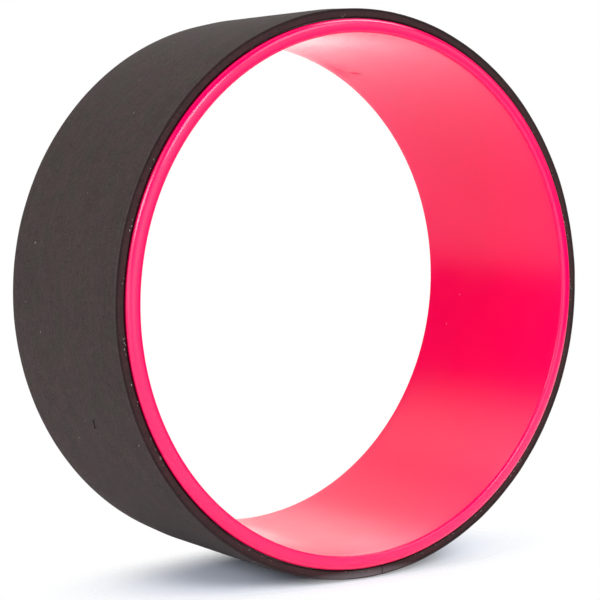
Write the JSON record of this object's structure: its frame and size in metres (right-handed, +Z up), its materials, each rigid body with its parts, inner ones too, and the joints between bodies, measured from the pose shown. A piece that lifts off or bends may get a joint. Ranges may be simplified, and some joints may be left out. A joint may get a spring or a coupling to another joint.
{
  "type": "yoga wheel",
  "caption": "Yoga wheel: a rigid glossy hoop with a plain open bore, wrapped in a bonded foam tread, which rolls under the back for stretching and balance work.",
  "frame": {"origin": "centre of the wheel: on the axis of the bore, halfway between the two rim faces", "axes": "+Y along the wheel's axis, +Z up with the wheel standing on its tread, -Y towards the side that the picture shows"},
  "size_m": [0.33, 0.13, 0.33],
  "materials": {
    "hoop_plastic": "moulded ABS, gloss pink",
    "adhesive": "cured contact adhesive, pale and dull",
    "tread_foam": "closed-cell foam, matt warm dark grey",
    "seam_glue": "cured contact adhesive, dark"
  },
  "bodies": {
    "root": {"hoop": "hoop_plastic", "adhesive_film": "adhesive", "tread": "tread_foam", "seam_bond": "seam_glue"}
  },
  "joints": []
}
